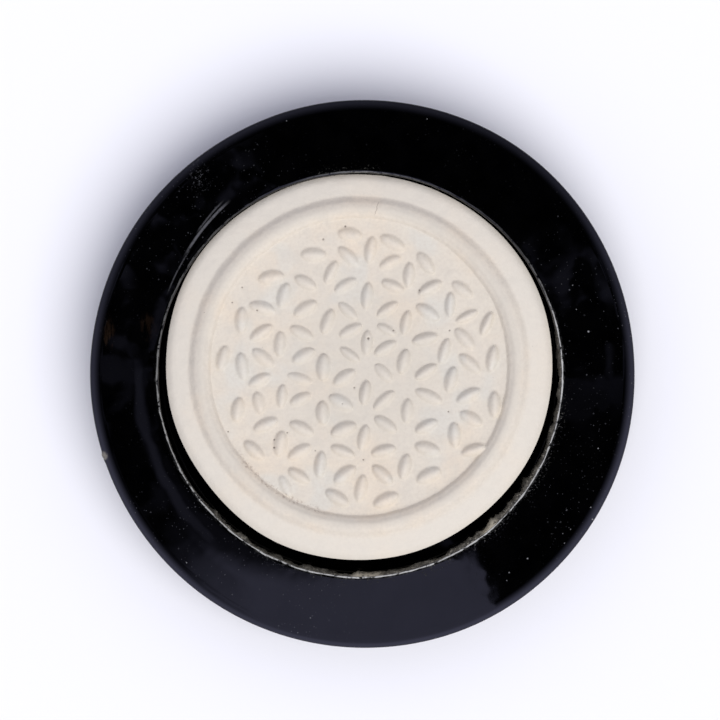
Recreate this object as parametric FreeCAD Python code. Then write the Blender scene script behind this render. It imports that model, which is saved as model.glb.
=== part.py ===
import FreeCAD, Part
import os
import math

os.makedirs("parts", exist_ok=True)

# A round moulded ink cake lying loose in the well of a round glazed dish.
# Millimetres. Origin: centre of the foot ring's bottom, on the dish's axis. +Z is up.

# ---- dish: one fired clay body, glazed above the foot ----
DISH_R = 45.25           # widest radius of the dish
LIP_Z = 13.38            # top of the well's lip
CROWN_END_R = 43.0       # the ring's gently falling top ends here
CROWN_IN_DEG = 2.0       # slope of the ring's top at the lip
CROWN_OUT_DEG = 9.0      # and at its outer end
BEVEL_DEG = 48.0         # steepest slope of the rolled outer edge
BEVEL_IN_R = 2.9         # round that rolls the top over to that slope
BEVEL_OUT_R = 0.4        # round between the edge and the side
SIDE_Z = 6.6             # the upright side ends here and the underside curves in
LIP_ROUND = 0.5          # small round on the well's lip
WELL_X, WELL_Y = -0.58, -0.09   # the well is a little off the dish's axis
WELL_R = 33.25           # radius of the well's wall
WELL_FLOOR_Z = 5.0       # floor the cake rests on
WELL_FILLET = 0.5        # round where wall and floor meet
SKIRT_R = 38.2           # where the underside meets the foot
SKIRT_Z = 1.5
UNDER_MID = (43.6, 3.2)  # a point halfway round the underside's curve
FOOT_OUT_R = 36.8        # foot ring, outer and inner radius
FOOT_IN_R = 33.0
FOOT_H = 1.3             # depth of the hollow inside the foot ring
FOOT_BREAK = 0.3         # softened corners of the foot ring

# ---- cake: one pressed piece with its relief moulded in ----
CAKE_X, CAKE_Y = -0.71, 1.14    # lies off centre, almost touching the far wall
CAKE_R = 31.75           # widest radius
CAKE_BASE_R = 31.50      # radius just above the bottom chamfer: slight draft
CAKE_CHAMFER = 0.7
CAKE_SHOULDER_Z = 12.22  # where the side turns into the top bevel
BEVEL_MID = (31.18, 12.62)
RIM_OUT_R, RIM_OUT_Z = 30.50, 12.99  # the rim falls a little outward
RIM_IN_R, RIM_IN_Z = 28.40, 13.45
CREST_R, CREST_Z = 26.15, 14.70  # top of the raised round band
CREST_OUT_MID = (27.36, 14.20)
CREST_IN_MID = (25.10, 14.31)
FIELD_R, FIELD_Z = 24.50, 13.40  # sunk field inside the band

# ---- grains: 90 long rounded bumps moulded on the field, laid in a woven pattern ----
# x and y from the cake's axis, angle of the long axis in degrees, half length,
# half width and height above the field
GRAINS = [
    ( 18.08,  -4.80,  28.3, 2.17, 1.14, 0.97),
    (  4.48, -22.01,  23.7, 2.26, 1.30, 0.99),
    ( 18.88, -13.75,  19.0, 2.09, 1.09, 0.99),
    ( 11.74,  12.96,  28.6, 2.17, 1.07, 0.96),
    ( 11.53, -17.96,  26.8, 2.20, 1.32, 0.99),
    (  4.05, -13.89,  14.6, 2.08, 1.12, 0.91),
    ( 21.09,   7.05,  66.1, 2.13, 0.94, 0.99),
    ( 22.01,   1.32,  79.3, 2.25, 1.10, 0.99),
    ( 11.12,  -9.84,  26.8, 2.02, 1.09, 0.92),
    ( 11.07,  -0.85,  32.5, 2.08, 1.08, 0.90),
    ( -2.52, -10.36,  21.3, 2.23, 1.32, 0.97),
    ( 10.91,   4.54,  13.4, 2.20, 1.16, 0.94),
    ( -2.30, -17.83,  36.8, 2.18, 1.31, 0.99),
    (-15.35,  -9.57,  23.5, 2.17, 1.18, 0.85),
    ( -8.80,   9.56,  30.5, 2.17, 1.22, 0.80),
    ( -9.79, -14.07,  31.0, 2.13, 1.17, 0.81),
    (  4.13,  -5.53,  41.0, 2.22, 1.00, 0.76),
    (-16.09,   5.59,  33.0, 2.15, 1.11, 0.84),
    ( 17.81,   8.25,  27.0, 2.00, 0.89, 0.79),
    (-14.45,  14.66,   8.6, 2.18, 1.32, 0.89),
    (-16.35,  -2.25,  26.0, 1.98, 1.11, 0.74),
    (  7.56, -16.52,  77.3, 2.16, 1.18, 0.99),
    ( -7.46,  18.43, 179.5, 2.11, 1.29, 0.81),
    ( 15.21,  -2.12,  75.4, 2.19, 1.17, 0.99),
    ( 11.30, -13.56, 165.1, 2.12, 1.29, 0.94),
    ( -2.18,  13.42,  29.5, 2.06, 1.04, 0.72),
    (  4.72,   9.44,  32.9, 2.03, 0.99, 0.75),
    ( -9.12,   1.78,  29.7, 2.07, 1.20, 0.75),
    ( -1.36,   5.96,  27.0, 2.06, 1.03, 0.70),
    ( 22.36,  -6.32,  89.6, 2.21, 1.18, 0.99),
    ( -2.38,  -1.82,  33.1, 2.10, 1.23, 0.76),
    (  5.15,  17.21,  26.5, 1.93, 1.02, 0.71),
    (  1.03,  -4.28,  80.7, 2.03, 1.06, 0.93),
    (-19.95,  -7.11,  81.0, 2.07, 1.24, 0.94),
    ( -6.33, -16.17,  83.0, 2.22, 1.15, 0.99),
    ( -5.16,   7.44,  68.2, 2.16, 1.13, 0.88),
    ( -3.57, -21.62, 148.7, 2.20, 1.18, 0.99),
    (  4.38,   3.06,  30.1, 2.05, 1.07, 0.71),
    (  7.38,   0.84,  76.6, 2.08, 1.16, 0.91),
    ( -4.56,  15.54,  63.8, 2.07, 1.05, 0.81),
    (-12.36,  11.72,  73.1, 2.14, 1.21, 0.87),
    ( -9.61,  -5.35,  25.4, 1.88, 1.07, 0.66),
    ( 14.09,   2.55,  73.0, 2.19, 1.01, 0.84),
    ( -2.64, -13.99, 157.4, 2.12, 1.03, 0.86),
    ( -9.40, -10.19, 153.3, 2.20, 1.16, 0.88),
    ( 15.78, -11.31,  93.3, 2.12, 1.18, 0.99),
    (-15.94,   9.68, 165.6, 2.16, 1.20, 0.82),
    (  7.75,   7.22,  78.1, 2.02, 1.01, 0.82),
    (  5.58,  13.26, 156.0, 1.99, 1.03, 0.82),
    ( -9.92, -17.97, 148.2, 2.03, 1.05, 0.88),
    ( -1.48,  21.74, 172.2, 2.01, 1.29, 0.79),
    (-17.28, -13.80, 137.0, 2.14, 1.18, 0.97),
    (  0.35, -20.10,  78.9, 2.28, 1.15, 0.86),
    ( 15.03,  10.17,  86.3, 2.13, 0.96, 0.89),
    ( -8.78,  13.83, 150.3, 1.99, 1.13, 0.83),
    (  1.94,  19.24,  79.9, 2.22, 1.13, 0.87),
    ( -5.87,  -0.10,  86.7, 2.28, 1.29, 0.99),
    (  0.79, -11.71,  77.1, 2.17, 1.09, 0.83),
    (-12.94, -12.71,  81.3, 2.13, 1.24, 0.87),
    ( 11.36,   8.93, 147.2, 2.22, 1.18, 0.86),
    ( 18.52,  -8.59, 150.4, 2.07, 1.18, 0.85),
    (-12.70,  -4.89,  85.1, 1.95, 0.97, 0.79),
    (  8.26,  15.07,  86.6, 2.08, 1.09, 0.84),
    ( -2.97,  -5.91, 151.8, 2.21, 1.26, 0.77),
    (  1.38,  11.66,  82.4, 2.23, 1.12, 0.85),
    (  7.97,  -7.31,  85.1, 2.03, 1.11, 0.79),
    (  4.41,  -9.51, 146.3, 2.17, 1.12, 0.78),
    ( -5.98,  -7.63,  92.7, 1.98, 1.25, 0.92),
    (  3.90, -17.83, 137.6, 2.17, 1.17, 0.99),
    ( 11.53,  -4.88, 156.0, 2.41, 1.13, 0.75),
    (-22.41,   1.38,  73.9, 2.14, 1.16, 0.86),
    (-19.34,   7.61,  88.2, 2.21, 1.22, 0.90),
    ( -9.42,   5.55, 153.4, 2.15, 1.11, 0.69),
    (-13.00,   3.71,  86.7, 2.10, 1.10, 0.81),
    (  5.56,  20.40, 152.2, 2.29, 1.21, 0.78),
    ( -9.73,  -1.97, 162.6, 2.11, 0.96, 0.54),
    (-15.77,   1.43, 140.7, 2.19, 1.19, 0.78),
    ( 18.27,   0.50, 138.7, 2.22, 1.14, 0.84),
    ( 17.05,  12.69, 143.5, 2.05, 1.11, 0.76),
    (-19.21,   0.00,  99.0, 2.30, 1.20, 0.87),
    (-16.48,  -6.06, 104.3, 1.93, 1.10, 0.79),
    ( -1.49,   2.00, 144.6, 1.93, 0.88, 0.66),
    (  4.60,   6.08, 150.9, 1.75, 0.84, 0.63),
    (  1.33,   3.92,  86.3, 2.08, 1.05, 0.70),
    ( 17.46,   4.58, 132.2, 2.26, 1.17, 0.79),
    ( 11.05,  17.00, 126.6, 2.15, 1.16, 0.79),
    ( -1.73,  18.17, 136.7, 2.14, 1.12, 0.74),
    ( -1.80,   9.17, 137.9, 1.98, 0.95, 0.65),
    (  4.06,  -1.04, 133.8, 1.95, 1.05, 0.62),
    (-12.08, -19.75, 116.9, 1.91, 0.93, 0.51),
]


def v(r, z):
    return FreeCAD.Vector(r, 0.0, z)


def line(a, b):
    return Part.makeLine(v(*a), v(*b))


def arc(a, m, b):
    return Part.Arc(v(*a), v(*m), v(*b)).toShape()


def lathe(edges, x=0.0, y=0.0):
    face = Part.Face(Part.Wire(edges))
    solid = face.revolve(v(0, 0), FreeCAD.Vector(0, 0, 1), 360)
    solid.translate(FreeCAD.Vector(x, y, 0))
    return solid


# ring section: falling top, rounded bevel, upright side, curved underside, foot ring
a_in, a_out, a_bev = (math.radians(d) for d in (CROWN_IN_DEG, CROWN_OUT_DEG, BEVEL_DEG))
lip_r = WELL_R + LIP_ROUND
crown_r = (CROWN_END_R - lip_r) / (math.sin(a_out) - math.sin(a_in))


def crown(a):
    return (lip_r + crown_r * (math.sin(a) - math.sin(a_in)),
            LIP_Z - crown_r * (math.cos(a_in) - math.cos(a)))


BLANK_R = 32.0           # the blank's top is flat inside this radius; the well removes it
blank_top = crown(math.asin(math.sin(a_in) - (lip_r - BLANK_R) / crown_r))
crown_end = crown(a_out)


def turn(start, radius, a0, a1):
    """Convex arc from `start`, where the slope is a0, to the point where it is a1."""
    def at(a):
        return (start[0] + radius * (math.sin(a) - math.sin(a0)),
                start[1] - radius * (math.cos(a0) - math.cos(a)))
    return at(0.5 * (a0 + a1)), at(a1)


bev_in_mid, bev_in = turn(crown_end, BEVEL_IN_R, a_out, a_bev)
out_run = BEVEL_OUT_R * (1 - math.sin(a_bev))
bev_len = (DISH_R - out_run - bev_in[0]) / math.cos(a_bev)
bev_out = (bev_in[0] + bev_len * math.cos(a_bev), bev_in[1] - bev_len * math.sin(a_bev))
side_mid, side_top = turn(bev_out, BEVEL_OUT_R, a_bev, math.pi / 2)
side_top = (DISH_R, side_top[1])
print("widest line from", round(side_top[1], 2), "to", SIDE_Z)

dish = lathe([
    line((0, FOOT_H), (FOOT_IN_R, FOOT_H)),
    line((FOOT_IN_R, FOOT_H), (FOOT_IN_R, FOOT_BREAK)),
    line((FOOT_IN_R, FOOT_BREAK), (FOOT_IN_R + FOOT_BREAK, 0)),
    line((FOOT_IN_R + FOOT_BREAK, 0), (FOOT_OUT_R - FOOT_BREAK, 0)),
    line((FOOT_OUT_R - FOOT_BREAK, 0), (FOOT_OUT_R, FOOT_BREAK)),
    line((FOOT_OUT_R, FOOT_BREAK), (FOOT_OUT_R, FOOT_H)),
    line((FOOT_OUT_R, FOOT_H), (SKIRT_R, SKIRT_Z)),
    arc((SKIRT_R, SKIRT_Z), UNDER_MID, (DISH_R, SIDE_Z)),
    line((DISH_R, SIDE_Z), side_top),
    arc(side_top, side_mid, bev_out),
    line(bev_out, bev_in),
    arc(bev_in, bev_in_mid, crown_end),
    arc(crown_end, crown(0.5 * (a_in + a_out)), blank_top),
    line(blank_top, (0, blank_top[1])),
    line((0, blank_top[1]), (0, FOOT_H)),
])

# the well, with a rounded lip and a small round at the floor
q = math.sqrt(0.5)
lip_z = LIP_Z + 0.05     # the round meets the ring's top at a soft corner
well = lathe([
    line((0, WELL_FLOOR_Z), (WELL_R - WELL_FILLET, WELL_FLOOR_Z)),
    arc((WELL_R - WELL_FILLET, WELL_FLOOR_Z),
        (WELL_R - WELL_FILLET * (1 - q), WELL_FLOOR_Z + WELL_FILLET * (1 - q)),
        (WELL_R, WELL_FLOOR_Z + WELL_FILLET)),
    line((WELL_R, WELL_FLOOR_Z + WELL_FILLET), (WELL_R, lip_z - LIP_ROUND)),
    arc((WELL_R, lip_z - LIP_ROUND),
        (WELL_R + LIP_ROUND * (1 - q), lip_z - LIP_ROUND * (1 - q)),
        (WELL_R + LIP_ROUND, lip_z)),
    line((WELL_R + LIP_ROUND, lip_z), (WELL_R + LIP_ROUND, lip_z + 3)),
    line((WELL_R + LIP_ROUND, lip_z + 3), (0, lip_z + 3)),
    line((0, lip_z + 3), (0, WELL_FLOOR_Z)),
], WELL_X, WELL_Y)
# its seam is turned a quarter away from the blank's, so that the two don't meet
well.rotate(FreeCAD.Vector(WELL_X, WELL_Y, 0), FreeCAD.Vector(0, 0, 1), 90)
blank_volume = dish.Volume
dish = dish.cut(well)
assert dish.Volume < 0.7 * blank_volume, "the well was not cut"
if dish.ShapeType != "Solid":
    dish = dish.Solids[0]

# ---- cake ----
cake = lathe([
    line((0, WELL_FLOOR_Z), (CAKE_BASE_R - CAKE_CHAMFER, WELL_FLOOR_Z)),
    line((CAKE_BASE_R - CAKE_CHAMFER, WELL_FLOOR_Z), (CAKE_BASE_R, WELL_FLOOR_Z + CAKE_CHAMFER)),
    line((CAKE_BASE_R, WELL_FLOOR_Z + CAKE_CHAMFER), (CAKE_R, CAKE_SHOULDER_Z)),
    arc((CAKE_R, CAKE_SHOULDER_Z), BEVEL_MID, (RIM_OUT_R, RIM_OUT_Z)),
    line((RIM_OUT_R, RIM_OUT_Z), (RIM_IN_R, RIM_IN_Z)),
    arc((RIM_IN_R, RIM_IN_Z), CREST_OUT_MID, (CREST_R, CREST_Z)),
    arc((CREST_R, CREST_Z), CREST_IN_MID, (FIELD_R, FIELD_Z)),
    line((FIELD_R, FIELD_Z), (0, FIELD_Z)),
    line((0, FIELD_Z), (0, WELL_FLOOR_Z)),
])


def grain(x, y, deg, half_l, half_w, h):
    """A spheroid sunk in the field so that half_l by half_w shows, h high."""
    rc = (half_w ** 2 + h ** 2) / (2 * h)
    sink = rc - h
    a = half_l / math.sqrt(1 - (sink / rc) ** 2)
    tip = FreeCAD.Vector
    if a > rc:
        ell = Part.Ellipse(tip(0, 0, 0), a, rc)
        half = Part.ArcOfEllipse(ell, 0, math.pi).toShape()
    else:
        half = Part.ArcOfCircle(Part.Circle(tip(0, 0, 0), tip(0, 0, 1), rc), 0, math.pi).toShape()
        a = rc
    body = Part.Face(Part.Wire([half, Part.makeLine(tip(-a, 0, 0), tip(a, 0, 0))]))
    body = body.revolve(tip(0, 0, 0), tip(1, 0, 0), 360)
    body.rotate(tip(0, 0, 0), tip(0, 0, 1), deg)
    body.translate(tip(x, y, FIELD_Z - sink))
    return body


cake = cake.multiFuse([grain(*g) for g in GRAINS])
if cake.ShapeType != "Solid":
    cake = cake.Solids[0]
cake.translate(FreeCAD.Vector(CAKE_X, CAKE_Y, 0))

for name, shape in (("dish", dish), ("ink_cake", cake)):
    print(name, shape.ShapeType, "valid", shape.isValid(), "volume", round(shape.Volume, 1),
          "faces", len(shape.Faces))
    shape.exportStep("parts/%s.step" % name)
print("gap volume overlap", dish.common(cake).Volume)
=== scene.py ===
import math
import bpy
import numpy as np
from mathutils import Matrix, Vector


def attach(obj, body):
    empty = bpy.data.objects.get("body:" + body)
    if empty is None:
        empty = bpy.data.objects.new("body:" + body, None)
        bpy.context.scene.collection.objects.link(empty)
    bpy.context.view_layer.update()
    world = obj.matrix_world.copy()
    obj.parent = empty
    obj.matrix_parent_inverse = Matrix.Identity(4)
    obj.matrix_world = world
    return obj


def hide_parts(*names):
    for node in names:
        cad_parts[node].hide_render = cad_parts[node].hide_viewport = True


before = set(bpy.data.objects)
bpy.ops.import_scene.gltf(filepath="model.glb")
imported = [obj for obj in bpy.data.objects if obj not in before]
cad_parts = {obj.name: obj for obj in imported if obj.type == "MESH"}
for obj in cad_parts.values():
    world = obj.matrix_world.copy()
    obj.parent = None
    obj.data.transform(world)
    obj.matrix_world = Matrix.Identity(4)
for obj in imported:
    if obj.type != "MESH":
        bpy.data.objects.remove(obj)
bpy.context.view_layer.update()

MM = 0.001

# ---------------------------------------------------------------- sizes, in millimetres
K = 0.996                      # the made outline wavers, so it is drawn this much inside the box
DISH_R = 44.95
LIP_Z = 13.38
CROWN_END_R = 42.9
SIDE_Z = 6.6
LIP_ROUND = 0.45
WELL = (-0.58 * K, -0.09 * K)
WELL_R = 33.06
FLOOR_Z = 5.0
FOOT_OUT_R, FOOT_IN_R, FOOT_H = 36.8, 33.0, 1.3
CAKE = (-0.69, 1.20)
CAKE_R = 31.89 * K
FIELD_Z = 13.40

# the dish's outline and the cake's outline aren't true circles: radius change every 20 degrees
# of azimuth, counted anticlockwise from +X
DISH_WAVER = [-0.28, -0.15, 0.10, 0.25, 0.16, 0.11, -0.08, -0.05, -0.05, -0.02,
              -0.10, -0.07, 0.02, 0.07, 0.18, 0.23, 0.08, -0.08]
CAKE_WAVER = [0.03, 0.20, 0.15, -0.07, -0.15, -0.05, 0.05, 0.28, 0.20, -0.03,
              -0.07, -0.26, 0.10, 0.05, 0.03, -0.10, -0.08, 0.03]

# long bumps on the field: x, y from the cake's axis, angle of the long axis, half length,
# half width, height
GRAINS = np.array([
    (18.01, -4.78, 28.3, 2.16, 1.14, 0.96), (4.46, -21.92, 23.7, 2.25, 1.29, 0.99), (18.80, -13.70, 19.0, 2.08, 1.09, 0.98),
    (11.69, 12.91, 28.6, 2.16, 1.07, 0.96), (11.48, -17.89, 26.8, 2.19, 1.32, 0.99), (4.04, -13.83, 14.6, 2.08, 1.11, 0.91),
    (21.00, 7.03, 66.1, 2.13, 0.94, 0.99), (21.92, 1.32, 79.3, 2.24, 1.10, 0.99), (11.08, -9.80, 26.8, 2.01, 1.08, 0.92),
    (11.02, -0.84, 32.5, 2.07, 1.07, 0.89), (-2.51, -10.32, 21.3, 2.23, 1.32, 0.97), (10.87, 4.52, 13.4, 2.19, 1.16, 0.93),
    (-2.29, -17.76, 36.8, 2.17, 1.30, 0.99), (-15.28, -9.54, 23.5, 2.16, 1.17, 0.85), (-8.76, 9.52, 30.5, 2.17, 1.22, 0.80),
    (-9.75, -14.02, 31.0, 2.12, 1.16, 0.81), (4.11, -5.51, 41.0, 2.22, 1.00, 0.76), (-16.02, 5.57, 33.0, 2.14, 1.11, 0.84),
    (17.73, 8.22, 27.0, 1.99, 0.89, 0.78), (-14.39, 14.60, 8.6, 2.17, 1.32, 0.89), (-16.29, -2.24, 26.0, 1.98, 1.10, 0.73),
    (7.53, -16.45, 77.3, 2.15, 1.17, 0.99), (-7.43, 18.35, 179.5, 2.10, 1.28, 0.81), (15.15, -2.11, 75.4, 2.18, 1.17, 0.99),
    (11.25, -13.50, 165.1, 2.12, 1.28, 0.94), (-2.17, 13.36, 29.5, 2.06, 1.04, 0.72), (4.70, 9.40, 32.9, 2.02, 0.99, 0.74),
    (-9.09, 1.77, 29.7, 2.06, 1.19, 0.74), (-1.36, 5.93, 27.0, 2.05, 1.02, 0.70), (22.27, -6.29, 89.6, 2.20, 1.17, 0.99),
    (-2.38, -1.81, 33.1, 2.09, 1.23, 0.76), (5.13, 17.14, 26.5, 1.92, 1.02, 0.71), (1.03, -4.26, 80.7, 2.03, 1.05, 0.93),
    (-19.86, -7.08, 81.0, 2.06, 1.23, 0.94), (-6.30, -16.11, 83.0, 2.21, 1.15, 0.99), (-5.13, 7.41, 68.2, 2.15, 1.13, 0.88),
    (-3.56, -21.53, 148.7, 2.19, 1.17, 0.99), (4.36, 3.05, 30.1, 2.05, 1.07, 0.71), (7.35, 0.84, 76.6, 2.07, 1.15, 0.91),
    (-4.54, 15.48, 63.8, 2.06, 1.04, 0.81), (-12.31, 11.68, 73.1, 2.13, 1.21, 0.87), (-9.57, -5.33, 25.4, 1.87, 1.07, 0.65),
    (14.04, 2.54, 73.0, 2.18, 1.01, 0.84), (-2.63, -13.94, 157.4, 2.11, 1.03, 0.85), (-9.36, -10.15, 153.3, 2.19, 1.15, 0.88),
    (15.72, -11.26, 93.3, 2.11, 1.17, 0.99), (-15.88, 9.64, 165.6, 2.15, 1.19, 0.82), (7.72, 7.19, 78.1, 2.02, 1.00, 0.82),
    (5.56, 13.21, 156.0, 1.98, 1.03, 0.82), (-9.88, -17.90, 148.2, 2.02, 1.05, 0.88), (-1.48, 21.65, 172.2, 2.00, 1.28, 0.79),
    (-17.21, -13.75, 137.0, 2.13, 1.17, 0.96), (0.35, -20.01, 78.9, 2.27, 1.14, 0.85), (14.97, 10.13, 86.3, 2.12, 0.96, 0.89),
    (-8.75, 13.77, 150.3, 1.98, 1.12, 0.83), (1.93, 19.16, 79.9, 2.21, 1.12, 0.86), (-5.85, -0.10, 86.7, 2.27, 1.29, 0.99),
    (0.79, -11.66, 77.1, 2.16, 1.09, 0.83), (-12.89, -12.66, 81.3, 2.12, 1.24, 0.87), (11.32, 8.89, 147.2, 2.22, 1.18, 0.86),
    (18.45, -8.55, 150.4, 2.06, 1.18, 0.84), (-12.65, -4.87, 85.1, 1.94, 0.97, 0.78), (8.23, 15.01, 86.6, 2.07, 1.09, 0.84),
    (-2.95, -5.88, 151.8, 2.21, 1.25, 0.76), (1.37, 11.61, 82.4, 2.22, 1.11, 0.85), (7.94, -7.28, 85.1, 2.03, 1.10, 0.79),
    (4.39, -9.48, 146.3, 2.16, 1.11, 0.78), (-5.95, -7.60, 92.7, 1.97, 1.24, 0.92), (3.88, -17.76, 137.6, 2.16, 1.17, 0.98),
    (11.48, -4.86, 156.0, 2.40, 1.12, 0.74), (-22.32, 1.37, 73.9, 2.13, 1.15, 0.86), (-19.26, 7.57, 88.2, 2.20, 1.22, 0.90),
    (-9.39, 5.52, 153.4, 2.14, 1.11, 0.69), (-12.95, 3.69, 86.7, 2.10, 1.10, 0.81), (5.54, 20.32, 152.2, 2.28, 1.21, 0.78),
    (-9.69, -1.97, 162.6, 2.10, 0.96, 0.53), (-15.71, 1.43, 140.7, 2.18, 1.19, 0.78), (18.20, 0.50, 138.7, 2.21, 1.13, 0.84),
    (16.98, 12.64, 143.5, 2.04, 1.10, 0.76), (-19.13, 0.00, 99.0, 2.29, 1.19, 0.87), (-16.41, -6.03, 104.3, 1.93, 1.10, 0.79),
    (-1.49, 1.99, 144.6, 1.92, 0.88, 0.66), (4.58, 6.05, 150.9, 1.75, 0.84, 0.62), (1.33, 3.90, 86.3, 2.07, 1.05, 0.70),
    (17.39, 4.57, 132.2, 2.25, 1.16, 0.79), (11.00, 16.93, 126.6, 2.14, 1.16, 0.79), (-1.72, 18.10, 136.7, 2.14, 1.11, 0.74),
    (-1.80, 9.13, 137.9, 1.98, 0.95, 0.64), (4.05, -1.03, 133.8, 1.94, 1.04, 0.62), (-12.03, -19.67, 116.9, 1.90, 0.93, 0.51),
])


# ---------------------------------------------------------------- noise
def _hash(ix, iy, iz, seed):
    n = (ix * 73856093) ^ (iy * 19349663) ^ (iz * 83492791) ^ (seed * 2654435)
    n = (n ^ (n >> 13)) * 1274126177
    n = n & 0x7FFFFFFF
    n = (n ^ (n >> 16)) & 0x7FFFFFFF
    return (n % 65536) / 32767.5 - 1.0


def noise(x, y, z, scale, seed=0, octaves=1, gain=0.5):
    """Smooth value noise of about -1 to 1, with features about `scale` across."""
    total, amp, norm = 0.0, 1.0, 0.0
    for o in range(octaves):
        f = (2.03 ** o) / scale
        px, py, pz = x * f + 17.3 * o, y * f - 9.1 * o, z * f + 4.7 * o
        ix, iy, iz = (np.floor(a).astype(np.int64) for a in (px, py, pz))
        tx, ty, tz = px - ix, py - iy, pz - iz
        tx, ty, tz = (t * t * t * (t * (t * 6 - 15) + 10) for t in (tx, ty, tz))
        acc = 0.0
        for dx in (0, 1):
            for dy in (0, 1):
                for dz in (0, 1):
                    w = (tx if dx else 1 - tx) * (ty if dy else 1 - ty) * (tz if dz else 1 - tz)
                    acc = acc + w * _hash(ix + dx, iy + dy, iz + dz, seed + o)
        total = total + amp * acc
        norm += amp
        amp *= gain
    return total / norm * 1.6


def smooth(a, b, x):
    t = np.clip((x - a) / (b - a), 0, 1)
    return t * t * (3 - 2 * t)


def periodic(table, phi):
    """Smooth periodic curve through a table of evenly spaced values."""
    n = len(table)
    c = np.fft.rfft(table) / n
    out = np.full_like(phi, c[0].real)
    for k in range(1, len(c)):
        w = 2.0 if (k < n / 2) else 1.0
        out = out + w * (c[k].real * np.cos(k * phi) - c[k].imag * np.sin(k * phi))
    return out


def CRUST(p):
    """Thickness in mm of the powder caked on the well's wall, by azimuth."""
    d = np.degrees(np.mod(p + math.pi, 2 * math.pi) - math.pi)
    return (0.70 * smooth(-150, -100, d) * (1 - smooth(2, 22, d))
            + 0.58 * smooth(-66, -52, d) * (1 - smooth(-34, -24, d))
            + 0.25 * smooth(-98, -92, d) * (1 - smooth(-88, -80, d))
            + 0.50 * smooth(-143, -135, d) * (1 - smooth(-127, -119, d)))


def grid_mesh(name, X, Y, Z, closed_start=None, closed_end=None):
    """Quads between rings (rows) of points; the first and last ring may close on one point."""
    nr, na = X.shape
    verts = np.stack([X, Y, Z], axis=-1).reshape(-1, 3) * MM
    i = np.arange(nr - 1)[:, None] * na
    j = np.arange(na)[None, :]
    jn = (j + 1) % na
    quads = np.stack([i + j, i + jn, i + na + jn, i + na + j], axis=-1).reshape(-1, 4)
    faces = quads.tolist()
    verts = verts.tolist()
    if closed_start is not None:
        k = len(verts)
        verts.append([c * MM for c in closed_start])
        faces += [[k, (b + 1) % na, b] for b in range(na)]
    if closed_end is not None:
        k = len(verts)
        verts.append([c * MM for c in closed_end])
        base = (nr - 1) * na
        faces += [[base + b, base + (b + 1) % na, k] for b in range(na)]
    me = bpy.data.meshes.new(name)
    me.from_pydata(verts, [], faces)
    me.update()
    ob = bpy.data.objects.new(name, me)
    bpy.context.scene.collection.objects.link(ob)
    me.shade_smooth()
    return ob


def outward(ob):
    """Turns the faces to point out of the closed form."""
    import bmesh
    bm = bmesh.new()
    bm.from_mesh(ob.data)
    bmesh.ops.recalc_face_normals(bm, faces=bm.faces)
    bm.to_mesh(ob.data)
    bm.free()
    ob.data.shade_smooth()


# ---------------------------------------------------------------- cake
NA = 720
phi = np.arange(NA) * 2 * math.pi / NA
cw = periodic(CAKE_WAVER, phi) * K


def band(r):
    """Height of the rim, raised band and field over the cake's base level, by radius."""
    pts = np.array([
        (0, 0.0), (23.2, -0.03), (24.05, 0.0), (24.28, 0.02), (24.38, 0.06), (24.50, 0.21), (24.62, 0.39),
        (24.76, 0.57), (24.90, 0.72), (25.08, 0.86), (25.28, 1.00), (25.48, 1.135), (25.65, 1.22),
        (25.85, 1.27), (26.05, 1.28), (26.28, 1.25), (26.50, 1.19), (26.75, 1.09), (26.97, 0.97),
        (27.15, 0.84), (27.35, 0.66), (27.55, 0.47), (27.75, 0.29), (27.92, 0.165), (28.06, 0.09),
        (28.20, 0.05), (28.42, 0.01), (28.7, -0.045), (29.5, -0.20), (30.1, -0.32), (30.4, -0.40),
        (30.6, -0.46), (30.78, -0.53), (30.95, -0.615), (31.10, -0.70), (31.27, -0.81),
        (31.43, -0.92), (31.57, -1.02), (31.67, -1.095), (31.71, -1.13), (31.73, -1.16)])
    pts[:, 1] += FIELD_Z
    return np.interp(r, pts[:, 0], pts[:, 1])


def grains(x, y):
    h = np.zeros_like(x)
    for gx, gy, deg, L, W, H in GRAINS:
        sel = (np.abs(x - gx) < 3.0) & (np.abs(y - gy) < 3.0)
        dx, dy = x[sel] - gx, y[sel] - gy
        a = math.radians(deg)
        u = (dx * math.cos(a) + dy * math.sin(a)) / L
        v = (-dx * math.sin(a) + dy * math.cos(a)) / W
        w = np.sqrt(np.clip(1 - u * u, 0, 1))
        t = np.clip(np.abs(v) / np.maximum(w, 1e-6), 0, 1)
        b = H * w * np.cos(0.5 * math.pi * t)
        h[sel] = np.maximum(h[sel], b)
    return h


top_r = np.concatenate([
    np.linspace(0.25, 24.0, 118), np.arange(24.1, 28.4, 0.09), np.arange(28.5, 30.3, 0.22),
    np.arange(30.35, 31.66, 0.09), [31.68, 31.71, 31.73]])
R, P = np.meshgrid(top_r, phi, indexing="ij")
edge_w = smooth(26.0, 31.0, R)
X0, Y0 = R * np.cos(P), R * np.sin(P)
wob = (noise(np.cos(P) * 26, np.sin(P) * 26, R * 0.0, 9.0, 41, 2) * 0.08
       + noise(np.cos(P) * 26, np.sin(P) * 26, R * 0.3, 2.3, 43, 2) * 0.045
       + noise(X0, Y0, R * 0.0, 0.8, 45, 2) * 0.022)
r_prof = R + wob * (1 - smooth(28.5, 30.0, R)) * smooth(20.0, 24.0, R)
X = (R + cw[None, :] * edge_w) * np.cos(P)
Y = (R + cw[None, :] * edge_w) * np.sin(P)
Z = band(r_prof)
onf = 1 - smooth(24.2, 25.2, R)
Z = Z + np.minimum(grains(X, Y), 1.4) * onf
Z = Z + 0.045 * noise(X, Y, Z * 0, 6.5, 3, 3) * (0.35 + 0.65 * onf)
Z = Z + 0.022 * noise(X, Y, Z * 0, 1.5, 8, 3) + 0.009 * noise(X, Y, Z * 0, 0.5, 11, 2)
Z = Z - 0.05 * smooth(0.55, 1.0, noise(P * 14, R * 0.25, R * 0, 2.0, 21, 2)) * smooth(29.5, 31.0, R)

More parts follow.
